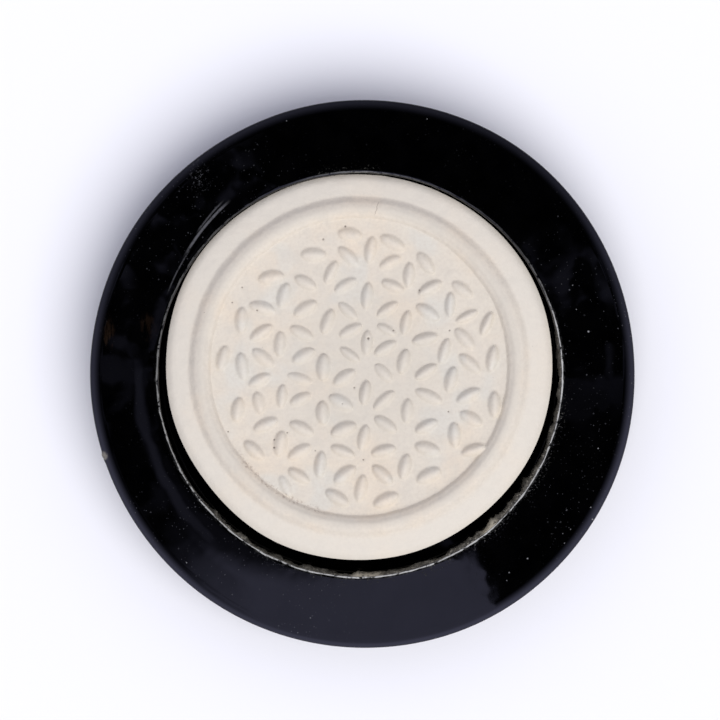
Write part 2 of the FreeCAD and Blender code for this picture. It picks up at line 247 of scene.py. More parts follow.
# small pits, x, y from the cake's axis, radius, depth
PITS = [(1.54, 4.63, 0.22, 0.32), (-2.24, 23.05, 0.18, 0.2), (-16.7, 9.24, 0.17, 0.2),
        (5.65, 5.95, 0.17, 0.22), (-13.92, -11.98, 0.17, 0.2), (-13.92, -13.29, 0.2, 0.22),
        (-11.78, -10.83, 0.16, 0.18), (-21.48, -10.66, 0.16, 0.18), (-0.76, -3.43, 0.17, 0.2),
        (0.72, -15.27, 0.16, 0.18), (-7.17, -13.79, 0.15, 0.16), (14.7, -7.37, 0.16, 0.18),
        (14.86, 5.95, 0.16, 0.18), (-19.18, 13.02, 0.16, 0.18), (-20.82, 10.55, 0.15, 0.18),
        (9.93, 12.53, 0.16, 0.18), (-2.73, -6.06, 0.15, 0.16), (-5.86, 20.9, 0.2, 0.15)]
for px, py, pr, pd in PITS:
    d2 = (X - px) ** 2 + (Y - py) ** 2
    Z = Z - pd * np.exp(-d2 / (pr * pr))

# side and underside, radius from the cake's axis and height
side = np.array([(31.745, 12.20), (31.75, 12.14), (31.75, 11.8), (31.745, 11.4), (31.74, 11.1), (31.73, 10.7), (31.71, 10.1), (31.68, 9.4), (31.64, 8.6),
                 (31.61, 7.8), (31.57, 7.0), (31.53, 6.4), (31.48, 5.95), (31.40, 5.7),
                 (31.22, 5.46), (31.0, 5.24), (30.78, 5.07), (30.55, 5.015), (30.3, 5.005)]
                + [(r, 5.005) for r in np.linspace(29.6, 0.6, 46)])
Rs, Ps = np.meshgrid(side[:, 0], phi, indexing="ij")
Zs = np.repeat(side[:, 1][:, None], NA, axis=1)
ws = smooth(20, 31, Rs)
on_side = smooth(5.3, 6.0, Zs) * (1 - smooth(11.4, 12.1, Zs))
Rs = Rs + cw[None, :] * ws + on_side * (0.05 * noise(np.cos(Ps) * 31, np.sin(Ps) * 31, Zs * 1.5, 5.0, 51, 3)
                                       + 0.02 * noise(np.cos(Ps) * 31, np.sin(Ps) * 31, Zs, 1.2, 52, 2))
under = (Zs < 5.01).astype(float)
Zs = Zs + under * (0.02 + 0.03 * np.abs(noise(Rs * np.cos(Ps), Rs * np.sin(Ps), Zs * 0, 5.0, 61, 3))
                   + 0.012 * np.abs(noise(Rs * np.cos(Ps), Rs * np.sin(Ps), Zs * 0, 0.9, 62, 2)))
Xs, Ys = Rs * np.cos(Ps), Rs * np.sin(Ps)
XX = np.concatenate([X, Xs]) + CAKE[0]
YY = np.concatenate([Y, Ys]) + CAKE[1]
Z = np.minimum(Z, 14.685)
ZZ = np.concatenate([Z, Zs])
cake = grid_mesh("ink_cake_body", XX, YY, ZZ, (CAKE[0], CAKE[1], float(Z[0].mean())), (CAKE[0], CAKE[1], 5.03))
outward(cake)

# ---------------------------------------------------------------- dish
ND = 900
phid = np.arange(ND) * 2 * math.pi / ND
a_in, a_out, a_bev = math.radians(2.0), math.radians(9.0), math.radians(43.5)
lip_r = WELL_R + LIP_ROUND
crown_r = (CROWN_END_R - lip_r) / (math.sin(a_out) - math.sin(a_in))


def crown(a):
    return (lip_r + crown_r * (math.sin(a) - math.sin(a_in)),
            LIP_Z - crown_r * (math.cos(a_in) - math.cos(a)))


lip_z = LIP_Z
sec = []                                   # radius, height, share of the dish's own centre
for r in np.linspace(0.8, WELL_R - LIP_ROUND - 0.3, 34):
    sec.append((r, FLOOR_Z, 0.0))
for t in np.linspace(0, math.pi / 2, 7):
    sec.append((WELL_R - 0.5 + 0.5 * math.sin(t), FLOOR_Z + 0.5 - 0.5 * math.cos(t), 0.0))
for z in np.linspace(FLOOR_Z + 1.1, 9.6, 8):
    sec.append((WELL_R, z, 0.0))
for z in np.linspace(9.9, lip_z - LIP_ROUND - 0.1, 14):
    sec.append((WELL_R, z, 0.0))
for t in np.linspace(0, math.pi / 2 - a_in, 11):
    sec.append((WELL_R + LIP_ROUND * (1 - math.cos(t)), lip_z - LIP_ROUND + LIP_ROUND * math.sin(t), 0.0))
for a in np.linspace(a_in, a_out, 46)[1:]:
    r, z = crown(a)
    sec.append((r, z, float(smooth(lip_r, CROWN_END_R - 1, r))))
r0, z0 = crown(a_out)
for t in np.linspace(a_out, a_bev, 26)[1:]:
    sec.append((r0 + 2.8 * (math.sin(t) - math.sin(a_out)), z0 - 2.8 * (math.cos(a_out) - math.cos(t)), 1.0))
r1, z1 = sec[-1][:2]
bl = (DISH_R - 0.25 * (1 - math.sin(a_bev)) - r1) / math.cos(a_bev)
for t in np.linspace(0, 1, 9)[1:]:
    sec.append((r1 + t * bl * math.cos(a_bev), z1 - t * bl * math.sin(a_bev), 1.0))
r2, z2 = sec[-1][:2]
for t in np.linspace(a_bev, math.pi / 2, 8)[1:]:
    sec.append((r2 + 0.25 * (math.sin(t) - math.sin(a_bev)), z2 - 0.25 * (math.cos(a_bev) - math.cos(t)), 1.0))
for z in np.linspace(sec[-1][1] - 0.3, SIDE_Z, 8):
    sec.append((DISH_R, z, 1.0))
# underside: one arc through three points, from the side to the skirt
p0, p1, p2 = (DISH_R, SIDE_Z), (43.4, 3.2), (38.2, 1.5)
ax, ay, bx, by = p1[0] - p0[0], p1[1] - p0[1], p2[0] - p0[0], p2[1] - p0[1]
dd = 2 * (ax * by - ay * bx)
ux = (by * (ax * ax + ay * ay) - ay * (bx * bx + by * by)) / dd
uy = (ax * (bx * bx + by * by) - bx * (ax * ax + ay * ay)) / dd
cx, cy, cr = p0[0] + ux, p0[1] + uy, math.hypot(ux, uy)
t0, t2 = math.atan2(p0[1] - cy, p0[0] - cx), math.atan2(p2[1] - cy, p2[0] - cx)
for t in np.linspace(t0, t2, 22)[1:]:
    sec.append((cx + cr * math.cos(t), cy + cr * math.sin(t), 1.0))
for r, z in [(38.0, 1.46), (37.4, 1.42), (36.95, 1.36), (36.83, 1.2), (36.8, 0.9), (36.8, 0.6), (36.76, 0.35),
             (36.66, 0.16), (36.5, 0.05), (36.2, 0.01), (35.6, 0.0), (34.9, 0.0), (34.2, 0.0), (33.6, 0.01),
             (33.3, 0.05), (33.14, 0.16), (33.04, 0.35), (33.0, 0.6), (33.0, 0.9), (32.95, 1.12), (32.8, 1.25),
             (32.5, 1.3)]:
    sec.append((r, z, 1.0))
for r in np.linspace(31.8, 1.0, 34):
    sec.append((r, FOOT_H, 1.0))
sec = np.array(sec)
Rd, Pd = np.meshgrid(sec[:, 0], phid, indexing="ij")
Zd = np.repeat(sec[:, 1][:, None], ND, axis=1)
Bd = np.repeat(sec[:, 2][:, None], ND, axis=1)
idx = np.repeat(np.arange(len(sec))[:, None], ND, axis=1)
c, s = np.cos(Pd), np.sin(Pd)
waver = periodic(DISH_WAVER, phid)[None, :] * K
Rd = Rd + waver * smooth(38.5, 43.0, Rd) * (Bd > 0.5)
lipw = noise(c * 33, s * 33, Zd * 0, 7.0, 71, 3) * 0.09 + noise(c * 33, s * 33, Zd * 0, 1.6, 72, 2) * 0.035
# dried powder caked on the wall under the lip, thickest on the lower right
crust = (CRUST(Pd) * smooth(8.8, 11.6, Zd) * (1 - smooth(12.2, 13.36, Zd)) * (Bd < 0.5) * (Rd < WELL_R + 0.6)
         * np.clip(0.55 + 0.55 * noise(c * 33, s * 33, Zd, 1.5, 91, 3), 0, 1.3))
Rd = Rd - crust
# a crumb of clay stuck on the outline
nib = np.exp(-(((Pd - math.radians(197.4)) * 44.9 / 0.42) ** 2 + ((Zd - 10.6) / 0.5) ** 2)) * (Rd > 44.0)
nib2 = np.exp(-(((Pd - math.radians(198.5)) * 44.9 / 0.25) ** 2 + ((Zd - 10.9) / 0.3) ** 2)) * (Rd > 44.0)
Rd = Rd + 0.26 * nib + 0.14 * nib2
at_lip = smooth(lip_z - 3.0, lip_z - 0.4, Zd) * (1 - smooth(WELL_R + 0.5, WELL_R + 2.0, Rd))
Rd = Rd + lipw * at_lip * (Zd > 5.6)
Xd, Yd = Rd * c + WELL[0] * (1 - Bd), Rd * s + WELL[1] * (1 - Bd)
# the glaze's surface rolls gently, and is thicker in places
glazed_top = (Zd > 6.7) * smooth(WELL_R + 0.1, WELL_R + 1.2, Rd)
# less so in front
roll = 0.022 - 0.018 * smooth(0.2, 0.8, -np.sin(Pd))
Zd = Zd + glazed_top * (roll * noise(Xd, Yd, Zd * 0, 9.0, 81, 2) + 0.003 * noise(Xd, Yd, Zd * 0, 2.6, 82, 2))
in_floor = (Zd < 5.05) & (Bd < 0.5)
Zd = Zd - in_floor * 0.02 * (1 + noise(Xd, Yd, Zd * 0, 6.0, 83, 2))
base = (Rd < 32.6) & (Bd > 0.5) & (Zd < 3)
Zd = Zd + base * (0.03 * noise(Xd, Yd, Zd * 0, 5.0, 84, 3))
foot_mask = (Zd < 0.02)
Zd = np.maximum(Zd, 0.0)
dish = grid_mesh("dish_body", Xd, Yd, Zd, (WELL[0], WELL[1], FLOOR_Z - 0.02), (0, 0, FOOT_H))
outward(dish)


# ---------------------------------------------------------------- material helpers
def fill_ramp(cr, table):
    cr.interpolation = "EASE"
    els = cr.elements
    while len(els) > 1:
        els.remove(els[-1])
    els[0].position = 0.0
    for k, (deg, v) in enumerate(table):
        e = els[0] if k == 0 else els.new(deg / 360.0 + 0.5)
        e.color = (v, v, v, 1)


class Nodes:
    def __init__(self, name):
        self.mat = bpy.data.materials.new(name)
        self.mat.use_nodes = True
        self.nt = self.mat.node_tree
        self.nt.nodes.clear()
        self.out = self.nt.nodes.new("ShaderNodeOutputMaterial")
        self.bsdf = self.nt.nodes.new("ShaderNodeBsdfPrincipled")
        self.link(self.bsdf.outputs[0], self.out.inputs[0])
        tc = self.nt.nodes.new("ShaderNodeTexCoord")
        self.obj = tc.outputs["Object"]
        sep = self.nt.nodes.new("ShaderNodeSeparateXYZ")
        self.link(self.obj, sep.inputs[0])
        self.x, self.y, self.z = sep.outputs

    def link(self, a, b):
        self.nt.links.new(a, b)

    def put(self, sock, v):
        if isinstance(v, (int, float)):
            sock.default_value = v
        elif isinstance(v, tuple):
            sock.default_value = v
        else:
            self.link(v, sock)

    def m(self, op, a, b=None, c=None, clamp=False):
        n = self.nt.nodes.new("ShaderNodeMath")
        n.operation = op
        n.use_clamp = clamp
        self.put(n.inputs[0], a)
        if b is not None:
            self.put(n.inputs[1], b)
        if c is not None:
            self.put(n.inputs[2], c)
        return n.outputs[0]

    def add(self, a, b): return self.m("ADD", a, b)
    def sub(self, a, b): return self.m("SUBTRACT", a, b)
    def mul(self, a, b, clamp=False): return self.m("MULTIPLY", a, b, clamp=clamp)
    def mx(self, a, b): return self.m("MAXIMUM", a, b)
    def mn(self, a, b): return self.m("MINIMUM", a, b)

    def step(self, v, lo, hi, to0=0.0, to1=1.0):
        n = self.nt.nodes.new("ShaderNodeMapRange")
        n.interpolation_type = "SMOOTHSTEP"
        self.put(n.inputs[0], v)
        n.inputs[1].default_value = lo
        n.inputs[2].default_value = hi
        n.inputs[3].default_value = to0
        n.inputs[4].default_value = to1
        return n.outputs[0]

    def noise(self, size_mm, detail=2.0, rough=0.5, vec=None, offset=0.0, distort=0.0):
        mp = self.nt.nodes.new("ShaderNodeMapping")
        self.link(vec if vec is not None else self.obj, mp.inputs[0])
        mp.inputs["Location"].default_value = (offset, offset * 0.7, -offset * 0.3)
        n = self.nt.nodes.new("ShaderNodeTexNoise")
        n.inputs["Scale"].default_value = 1000.0 / size_mm
        n.inputs["Detail"].default_value = detail
        n.inputs["Roughness"].default_value = rough
        n.inputs["Distortion"].default_value = distort
        self.link(mp.outputs[0], n.inputs["Vector"])
        return n.outputs["Fac"]

    def spots(self, cell_mm, radius, offset=0.0, chance=0.5):
        """Small round specks: one in some of the cells, edge at `radius` of a cell."""
        mp = self.nt.nodes.new("ShaderNodeMapping")
        self.link(self.obj, mp.inputs[0])
        mp.inputs["Location"].default_value = (offset, -offset, offset * 0.5)
        v = self.nt.nodes.new("ShaderNodeTexVoronoi")
        v.inputs["Scale"].default_value = 1000.0 / cell_mm
        self.link(mp.outputs[0], v.inputs["Vector"])
        sep = self.nt.nodes.new("ShaderNodeSeparateColor")
        self.link(v.outputs["Color"], sep.inputs[0])
        pick = self.step(sep.outputs[0], 1 - chance, 1 - chance + 0.02)
        size = self.mul(self.add(self.mul(sep.outputs[1], 0.7), 0.3), radius)
        d = self.sub(size, v.outputs["Distance"])
        return self.mul(self.step(d, 0.0, radius * 0.35), pick)

    def mix(self, fac, a, b):
        n = self.nt.nodes.new("ShaderNodeMix")
        n.data_type = "RGBA"
        self.put(n.inputs["Factor"], fac)
        for k, v in (("A", a), ("B", b)):
            sock = [i for i in n.inputs if i.name == k and i.type == "RGBA"][0]
            self.put(sock, v if not isinstance(v, tuple) else (v + (1.0,))[:4])
        return [o for o in n.outputs if o.type == "RGBA"][0]

    def stretch(self, k):
        mp = self.nt.nodes.new("ShaderNodeMapping")
        self.link(self.obj, mp.inputs[0])
        mp.inputs["Scale"].default_value = (1.0, k, 1.0)
        return mp.outputs[0]

    def polar(self, cx, cy):
        """Radius in mm and azimuth in degrees (anticlockwise from +X) about an axis."""
        dx, dy = self.sub(self.x, cx * MM), self.sub(self.y, cy * MM)
        r = self.mul(self.m("SQRT", self.add(self.mul(dx, dx), self.mul(dy, dy))), 1000.0)
        az = self.mul(self.m("ARCTAN2", dy, dx), 180.0 / math.pi)
        return r, az

    def arc_mask(self, az, centre, half, soft):
        """1 within half degrees of centre."""
        d = self.m("WRAP", self.sub(az, centre), 180.0, -180.0)
        return self.step(self.m("ABSOLUTE", d), half + soft, half, 0.0, 1.0)

    def ramp(self, az, table):
        """Value by azimuth in degrees, from a table that starts at -180 and ends at 180."""
        n = self.nt.nodes.new("ShaderNodeValToRGB")
        fill_ramp(n.color_ramp, table)
        self.link(self.add(self.mul(az, 1 / 360.0), 0.5), n.inputs[0])
        return n.outputs[0]

    def bump(self, height, dist_mm, strength=1.0, normal=None):
        n = self.nt.nodes.new("ShaderNodeBump")
        n.inputs["Strength"].default_value = strength
        n.inputs["Distance"].default_value = dist_mm * MM
        self.link(height, n.inputs["Height"])
        if normal is not None:
            self.link(normal, n.inputs["Normal"])
        return n.outputs[0]


# ---------------------------------------------------------------- cake material
def cake_material():
    N = Nodes("pressed_cream_cake")
    r, az = N.polar(*CAKE)
    base = (0.628, 0.574, 0.472)
    warm = (0.654, 0.577, 0.457)
    cool = (0.604, 0.580, 0.500)
    col = N.mix(N.step(N.noise(9.0, 3, 0.55), 0.42, 0.66), base, warm)
    on_field = N.step(r, 24.6, 24.0)
    col = N.mix(N.mul(N.mul(N.step(N.noise(7.0, 2, 0.5, offset=0.03), 0.50, 0.68), on_field), 0.8), col, cool)
    # dry, slightly darker grain in the paste
    col = N.mix(N.mul(N.step(N.noise(0.55, 4, 0.65, offset=0.01), 0.38, 0.72), 0.27), col, (0.47, 0.415, 0.34))
    col = N.mix(N.mul(N.step(N.noise(2.4, 4, 0.65, offset=0.07), 0.46, 0.66), 0.30), col, (0.535, 0.495, 0.415))
    # faint dirt specks; then painted shade in the pinholes, darker the deeper the pit
    col = N.mix(N.mul(N.spots(2.6, 0.055, 0.2, 0.45), 0.55), col, (0.16, 0.12, 0.10))
    col = N.mix(N.mul(N.spots(1.1, 0.09, 0.5, 0.25), 0.25), col, (0.26, 0.21, 0.18))
    # painted shade: each pit is coloured darker, by its depth
    for px, py, pr, pd in PITS:
        dx, dy = N.sub(N.x, (px + CAKE[0]) * MM), N.sub(N.y, (py + CAKE[1]) * MM)
        d = N.mul(N.m("SQRT", N.add(N.mul(dx, dx), N.mul(dy, dy))), 1000.0)
        d = N.add(d, N.mul(N.sub(N.noise(0.35, 1, 0.5), 0.5), 0.12))
        col = N.mix(N.mul(N.step(d, pr * 1.25, pr * 0.45, 0.0, 1.0), min(1.0, pd * 3.6)), col, (0.10, 0.075, 0.06))
    # handled outer edge and side, with black smudges low on the side and underneath
    low = N.step(N.z, 0.0108, 0.0078, 0.0, 1.0)
    surface_mark = N.mul(low, N.step(N.noise(6.0, 4, 0.6, offset=0.4), 0.40, 0.70))
    col = N.mix(N.mul(surface_mark, 0.6), col, (0.12, 0.10, 0.09))
    # the round band is a little duller; the middle of the field is darkened as painted shade between the grains
    dull_band_and_shaded_middle = N.mx(N.mul(N.mul(N.step(r, 24.9, 25.6), N.step(r, 27.0, 26.3)), 0.75), N.mul(N.step(r, 19.0, 7.0), 0.6))
    col = N.mix(N.mul(dull_band_and_shaded_middle, 0.5), col, (0.52, 0.485, 0.405))
    # paler, less red rim
    col = N.mix(N.mul(N.step(r, 27.6, 28.6), 0.55), col, (0.642, 0.602, 0.508))
    # a hairline crack across the band
    cx0, cy0, cx1, cy1 = 3.19 + CAKE[0], 26.97 + CAKE[1], 2.55 + CAKE[0], 24.85 + CAKE[1]
    ln = math.hypot(cx1 - cx0, cy1 - cy0)
    ux_, uy_ = (cx1 - cx0) / ln, (cy1 - cy0) / ln
    qx, qy = N.sub(N.mul(N.x, 1000.0), cx0), N.sub(N.mul(N.y, 1000.0), cy0)
    along = N.add(N.mul(qx, ux_), N.mul(qy, uy_))
    off = N.add(N.mul(qx, -uy_), N.mul(qy, ux_))
    off = N.add(off, N.mul(N.sub(N.noise(0.9, 2, 0.6, offset=0.63), 0.5), 0.7))
    crack = N.mul(N.mul(N.step(along, -0.3, 0.2), N.step(along, ln + 0.2, ln - 0.4)),
                  N.step(N.m("ABSOLUTE", off), 0.10, 0.03))
    col = N.mix(N.mul(crack, 0.40), col, (0.20, 0.155, 0.12))
    # crumbs and dirt caught along the foot of the band, lower left
    foot_dirt = N.mul(N.mul(N.step(r, 23.6, 24.3), N.step(r, 25.1, 24.7)), N.arc_mask(az, 236, 16, 8))
    foot_dirt = N.mul(foot_dirt, N.step(N.noise(0.5, 3, 0.65, offset=0.57), 0.52, 0.64))
    col = N.mix(N.mul(foot_dirt, 0.5), col, (0.26, 0.19, 0.14))
    N.put(N.bsdf.inputs["Base Color"], col)
    N.put(N.bsdf.inputs["Roughness"], N.step(N.noise(1.5, 3, 0.6), 0.2, 0.8, 0.80, 0.96))
    N.bsdf.inputs["Specular IOR Level"].default_value = 0.30
    h = N.add(N.mul(N.noise(0.30, 3, 0.6), 0.6), N.mul(N.noise(1.1, 2, 0.5, offset=0.11), 0.8))
    N.put(N.bsdf.inputs["Normal"], N.bump(h, 0.050, 0.85))
    return N.mat


# ---------------------------------------------------------------- dish material
# strength of the pale line along the lip, by azimuth: part glaze worn thin to the pale body, part painted highlight
LIP_BREAK_AND_HIGHLIGHT = [(-180, 0.30), (-165, 0.55), (-120, 0.8), (-100, 0.95), (-60, 1.0), (-30, 1.0), (0, 0.95), (15, 0.8),
            (24, 0.25), (40, 0.06), (66, 0.05), (80, 0.12), (90, 0.22), (102, 0.1), (112, 0.02), (124, 0.05),
            (140, 0.10), (160, 0.14), (180, 0.30)]
# how much pale powder is caked on the wall under the lip, by azimuth
CRUST_TONE = [(-180, 0.0), (-150, 0.08), (-139, 0.35), (-131, 0.8), (-122, 0.5), (-110, 0.28), (-96, 0.62), (-84, 0.62), (-70, 0.55),
              (-54, 1.0), (-32, 1.0), (-18, 0.55), (-4, 0.45), (10, 0.22), (24, 0.0), (180, 0.0)]


def dish_material():
    N = Nodes("black_glaze_on_clay")
    r, az = N.polar(*WELL)
    ro, azo = N.polar(0, 0)
    up = N.step(N.z, 0.0050, 0.0075)
    top = N.step(N.z, 0.0100, 0.0112)
    glaze = N.mix(N.step(N.noise(4.0, 3, 0.5), 0.3, 0.7), (0.00015, 0.00015, 0.0002), (0.0005, 0.0005, 0.0006))
    col = glaze
    # painted reflection: two faint brown streaked patches in the glaze on the left
    for bx, by, half_x, half_y, amt in ((-41.9, 6.6, 1.2, 3.4, 1.0), (-35.4, 7.6, 1.5, 2.8, 0.5)):
        qx, qy = N.mul(N.sub(N.x, bx * MM), 1000.0 / half_x), N.mul(N.sub(N.y, by * MM), 1000.0 / half_y)
        q = N.m("SQRT", N.add(N.mul(qx, qx), N.mul(qy, qy)))
        q = N.add(q, N.mul(N.sub(N.noise(2.0, 3, 0.6, offset=bx * 0.01), 0.5), 1.6))
        brown_reflection_streaks = N.step(N.noise(0.7, 3, 0.6, vec=N.stretch(0.28), offset=0.9), 0.40, 0.62)
        col = N.mix(N.mul(N.mul(N.mul(N.step(q, 1.05, 0.35), top), amt), brown_reflection_streaks), col, (0.0100, 0.0058, 0.0034))
    # pale line along the lip, strongest on the lower right: part glaze thinned to the pale body, part painted highlight
    wav = N.mul(N.sub(N.noise(3.2, 2, 0.5, offset=0.31), 0.5), 0.30)
    rr = N.add(r, wav)
    away = N.m("ABSOLUTE", N.sub(rr, lip_r - 0.20))
    strength = N.ramp(az, LIP_BREAK_AND_HIGHLIGHT)
    thin = N.mul(N.add(N.mul(N.noise(2.0, 3, 0.6, offset=0.83), 0.9), -0.45), 0.35)
    line = N.mul(N.step(N.add(away, thin), 0.15, 0.05), N.step(N.noise(1.1, 4, 0.7, offset=0.23), 0.36, 0.50))
    lip = N.mul(N.mul(N.mul(line, strength), up), N.step(N.z, 0.0124, 0.0129))
    col = N.mix(N.mul(lip, 0.92), col, (0.52, 0.52, 0.48))
    # a wider, softer grey shoulder beside it
    shoulder = N.mul(N.mul(N.step(away, 0.55, 0.15), N.step(N.noise(0.8, 4, 0.7, offset=0.47), 0.45, 0.75)),
                     N.mul(strength, 0.30))
    col = N.mix(N.mul(shoulder, up), col, (0.16, 0.16, 0.15))
    # powder caked on the wall under the lip, and grains of it on the ring
    wall = N.mul(N.mul(N.step(r, WELL_R + 0.22, WELL_R + 0.02), N.step(N.z, 0.0090, 0.0118)), N.step(r, 31.7, 33.2))
    cake_az = N.ramp(az, CRUST_TONE)
    pale = N.mul(N.step(N.noise(0.9, 4, 0.7, offset=0.9), 0.36, 0.62), N.mul(wall, cake_az))
    col = N.mix(N.mul(pale, 0.9), col, (0.105, 0.098, 0.077))
    lumps = N.mul(N.mul(N.step(N.noise(0.55, 3, 0.7, offset=3.1), 0.52, 0.68), wall), cake_az)
    col = N.mix(N.mul(lumps, 0.85), col, (0.36, 0.34, 0.27))
    blob = N.mx(N.mul(N.arc_mask(az, -49.5, 1.6, 2.2), 1.0), N.mul(N.arc_mask(az, -88, 2.5, 3), 0.7))
    blob = N.mul(N.mul(blob, wall), N.step(N.noise(0.7, 2, 0.6, offset=1.3), 0.30, 0.5))
    col = N.mix(N.mul(blob, 0.8), col, (0.56, 0.51, 0.38))
    halo = N.step(r, lip_r + 1.6, lip_r - 0.1, 0.0, 1.0)
    grit = N.mul(N.step(N.noise(0.42, 4, 0.72, offset=0.9), 0.56, 0.72),
                 N.step(N.noise(3.5, 3, 0.6, offset=0.77), 0.42, 0.62))
    where = N.mx(N.arc_mask(az, -42, 24, 20), N.mul(N.arc_mask(az, 262, 14, 14), 0.6))
    where = N.mx(where, N.mul(N.arc_mask(az, 98, 8, 8), 0.5))
    grime = N.mul(N.mul(N.mul(halo, grit), where), N.mul(up, N.step(r, WELL_R - 0.1, WELL_R + 0.3)))
    col = N.mix(N.mul(grime, 0.8), col, (0.24, 0.235, 0.20))
    # dust and grit stuck on the glaze, unevenly
    thick = N.mx(N.mul(N.arc_mask(azo, -3, 26, 20), 0.8), N.mul(N.arc_mask(azo, 232, 22, 18), 0.8))
    thick = N.mx(thick, N.mul(N.arc_mask(azo, 135, 16, 14), 0.6))
    clumps = N.step(N.noise(6.0, 3, 0.6, offset=0.71), 0.40, 0.62)
    thick = N.mul(N.add(N.mul(thick, 0.85), 0.15), N.add(N.mul(clumps, 0.8), 0.2))
    fine = N.mul(N.mx(N.spots(0.85, 0.20, 0.11, 0.95), N.spots(0.62, 0.17, 0.77, 0.95)), thick)
    big = N.mul(N.spots(2.0, 0.085, 0.43, 0.7), N.step(thick, 0.10, 0.35))
    dust = N.mul(N.mx(N.mul(fine, 0.30), N.mul(big, 0.42)), top)
    col = N.mix(N.mul(dust, 0.75), col, (0.16, 0.16, 0.17))
    # single crumbs: x, y, radius, brightness
    for px, py, pr, amt in ((38.6, -12.2, 0.17, 1.0), (37.4, -21.9, 0.15, 0.9), (37.7, -23.9, 0.19, 1.0),
                            (34.1, -25.5, 0.15, 0.5), (32.8, -26.2, 0.13, 0.5), (33.1, -27.8, 0.14, 0.6),
                            (27.0, -30.3, 0.17, 0.9), (24.0, -32.6, 0.14, 0.8), (23.6, -33.9, 0.12, 0.7),
                            (37.0, 7.0, 0.22, 1.0), (35.0, 10.6, 0.12, 0.8), (34.4, 14.6, 0.15, 0.8),
                            (-29.0, -31.0, 0.14, 0.8), (-12.6, 41.6, 0.12, 0.7), (10.5, 41.9, 0.11, 0.7)):
        dx, dy = N.sub(N.x, px * MM), N.sub(N.y, py * MM)
        dd_ = N.mul(N.m("SQRT", N.add(N.mul(dx, dx), N.mul(dy, dy))), 1000.0)
        dd_ = N.add(dd_, N.mul(N.sub(N.noise(0.3, 1, 0.5, offset=px), 0.5), 0.16))
        dust_1 = N.mul(N.mul(N.step(dd_, pr * 0.95, pr * 0.25), top), amt)
        col = N.mix(N.mul(dust_1, 0.75), col, (0.27, 0.27, 0.265))
        dust = N.mx(dust, dust_1)
    # painted highlight: two pale strokes beside the lip; and a speckled pale patch, upper left
    surface_mark = None
    for r0_, r1_, half_w, a0_, a1_, amt in ((34.72, 35.62, 0.16, 146.0, 127.0, 1.0), (35.45, 36.3, 0.11, 139.0, 128.0, 0.55),
                                            (34.25, 34.6, 0.09, 157.0, 143.0, 0.5)):
        f = N.m("DIVIDE", N.sub(az, a0_), a1_ - a0_)
        mid_r = N.add(N.mul(f, r1_ - r0_), r0_)
        w = N.step(N.m("ABSOLUTE", N.sub(N.add(r, N.mul(wav, 0.5)), mid_r)), half_w * 1.9, half_w * 0.4)
        w = N.mul(N.mul(w, N.mul(N.step(f, -0.05, 0.25), N.step(f, 1.05, 0.8))), amt)
        surface_mark = w if surface_mark is None else N.mx(surface_mark, w)
    surface_mark = N.mul(surface_mark, N.step(N.noise(0.9, 3, 0.7, offset=1.7), 0.22, 0.52))
    qx, qy = N.mul(N.sub(N.x, -26.9 * MM), 1000.0 / 2.0), N.mul(N.sub(N.y, 32.2 * MM), 1000.0 / 3.2)
    q = N.m("SQRT", N.add(N.mul(qx, qx), N.mul(qy, qy)))
    pale_speckle_patch = N.mul(N.step(q, 1.1, 0.3), N.mul(N.step(N.noise(0.5, 4, 0.75, offset=2.1), 0.55, 0.68), 0.8))
    surface_mark = N.mul(N.mx(surface_mark, pale_speckle_patch), top)
    col = N.mix(N.mul(surface_mark, 0.8), col, (0.095, 0.095, 0.098))
    # the crumb on the outline
    nx, ny = N.sub(N.x, -42.75 * MM), N.sub(N.y, -13.5 * MM)
    nd = N.mul(N.m("SQRT", N.add(N.mul(nx, nx), N.mul(ny, ny))), 1000.0)
    nibm = N.mul(N.step(nd, 0.95, 0.35), N.step(N.noise(0.5, 2, 0.6, offset=0.2), 0.35, 0.5))
    nibm = N.mul(nibm, N.step(N.z, 0.0096, 0.0101))
    col = N.mix(N.mul(nibm, 0.7), col, (0.26, 0.24, 0.20))
    # unglazed clay of the foot and the hollow under it
    edge = N.mul(N.sub(N.noise(7.0, 3, 0.6, offset=0.5), 0.5), 0.0011)
    bare = N.step(N.add(N.z, edge), 0.0022, 0.0020, 0.0, 1.0)
    clay = N.mix(N.step(N.noise(3.0, 4, 0.6), 0.35, 0.7), (0.36, 0.29, 0.22), (0.27, 0.21, 0.16))
    clay = N.mix(N.mul(N.spots(1.3, 0.12, 0.4, 0.4), 0.6), clay, (0.10, 0.075, 0.06))
    col = N.mix(bare, col, clay)
    N.put(N.bsdf.inputs["Base Color"], col)
    rough = N.step(N.noise(5.0, 4, 0.6, offset=0.6), 0.3, 0.75, 0.02, 0.05)
    matte_marks = N.mx(N.mx(N.mx(lip, grime), N.mx(dust, surface_mark)), N.mx(N.mx(pale, blob), nibm))
    rough = N.mx(rough, N.mul(matte_marks, 0.8))
    rough = N.mx(rough, N.mul(bare, 0.85))
    N.put(N.bsdf.inputs["Roughness"], rough)
    N.bsdf.inputs["IOR"].default_value = 1.5
    hb = N.mul(N.noise(0.6, 3, 0.6, offset=0.8), N.mx(bare, N.mul(matte_marks, 0.7)))
    hg = N.mul(N.noise(3.0, 2, 0.5, offset=0.14), 0.02)
    N.put(N.bsdf.inputs["Normal"], N.bump(N.add(hb, hg), 0.06, 0.7))
    return N.mat


cake.data.materials.append(cake_material())
dish.data.materials.append(dish_material())

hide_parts("ink_cake")
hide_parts("dish")
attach(cake, "cake")
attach(dish, "dish")

